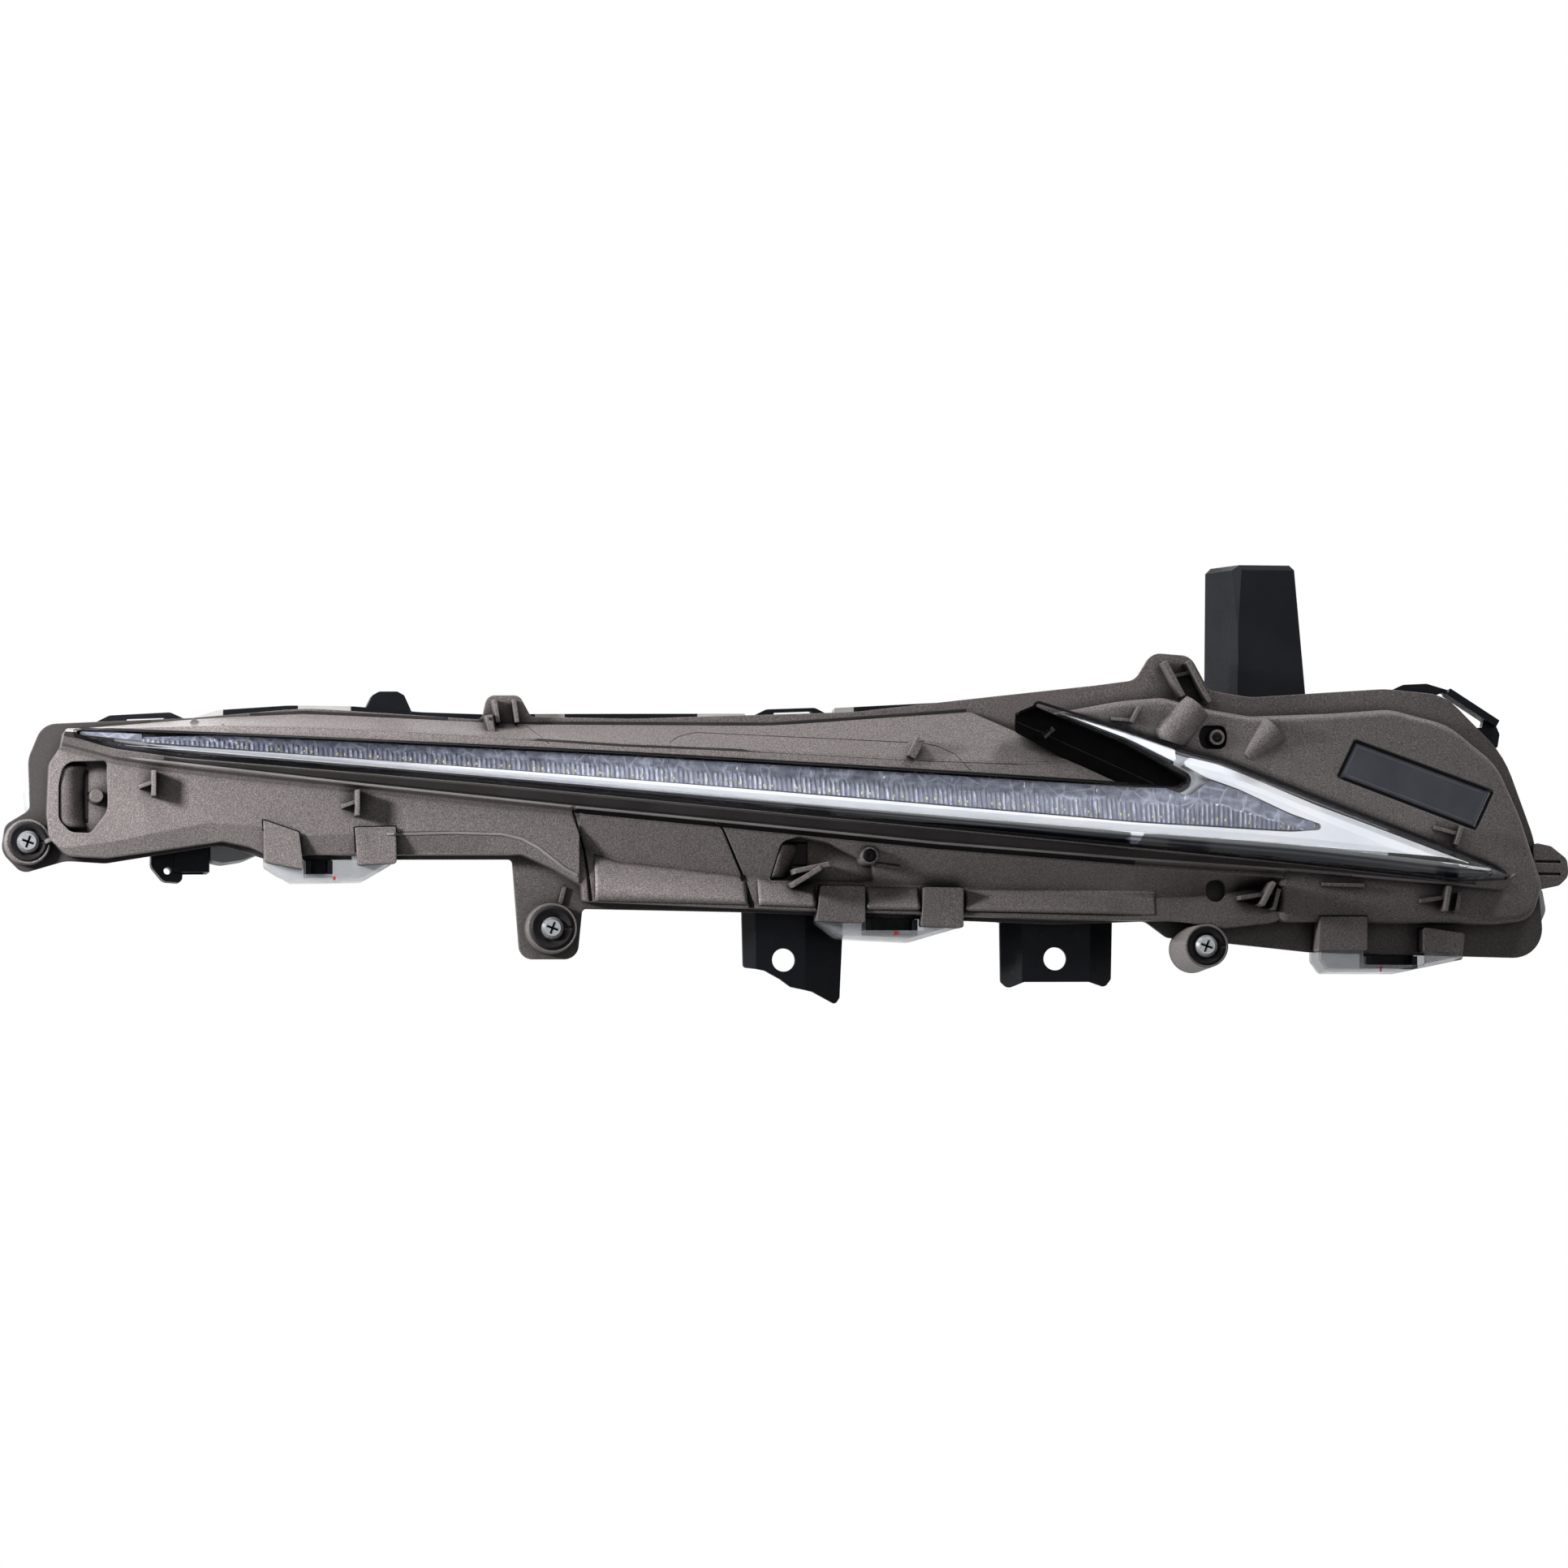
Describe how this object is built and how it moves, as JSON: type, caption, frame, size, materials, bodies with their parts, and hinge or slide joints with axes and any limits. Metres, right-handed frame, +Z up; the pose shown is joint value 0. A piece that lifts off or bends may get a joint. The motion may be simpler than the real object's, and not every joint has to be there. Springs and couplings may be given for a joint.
{
  "type": "daytime running light",
  "caption": "Long bowed daytime running light for the left end of a car's front bumper, with a clear two-armed lens, brackets below and a top post.",
  "frame": {"origin": "centre of the left lower bracket's hole, in the middle of the bracket plate", "axes": "+X to the right along the lamp seen from in front, -Y out of the front, +Z up"},
  "size_m": [0.6803, 0.129, 0.1914],
  "materials": {
    "bronze_paint": "satin metallic paint on moulded plastic",
    "clear_cover": "clear polycarbonate",
    "black_plastic": "fine grained",
    "gloss_black": "polished",
    "bright_silver": "bright metallised",
    "optic_clear": "clear light guide with flutes",
    "seal_rubber": "soft",
    "board_white": "solder mask",
    "led_yellow": "encapsulant",
    "plain_aluminium": "as cast",
    "zinc_screw": "zinc plated",
    "frosted_tray": "translucent",
    "lid_white": "moulded",
    "pad_grey": "foam rubber",
    "tin_pin": "tin plated"
  },
  "bodies": {
    "root": {"arm_shade": "gloss_black", "arm_trim": "gloss_black", "back_lid": "lid_white", "bracket_screws": "zinc_screw", "bright_frame": "bright_silver", "clear_lens": "clear_cover", "cover_screws": "zinc_screw", "dark_window": "gloss_black", "driver_module": "plain_aluminium", "fluted_optic": "optic_clear", "front_cover": "bronze_paint", "heat_sink": "plain_aluminium", "inlet_clip": "black_plastic", "inlet_pins": "tin_pin", "led_board": "board_white", "led_chips": "led_yellow", "lens_seal": "seal_rubber", "lower_bracket_left": "black_plastic", "lower_bracket_right": "black_plastic", "main_inlet": "black_plastic", "rear_housing": "black_plastic", "rim_pads": "pad_grey", "rim_strip": "black_plastic", "snap_tray_left": "frosted_tray", "snap_tray_middle": "frosted_tray", "snap_tray_right": "frosted_tray", "top_post": "black_plastic", "top_stop": "black_plastic", "vent_cap": "black_plastic"}
  },
  "joints": []
}
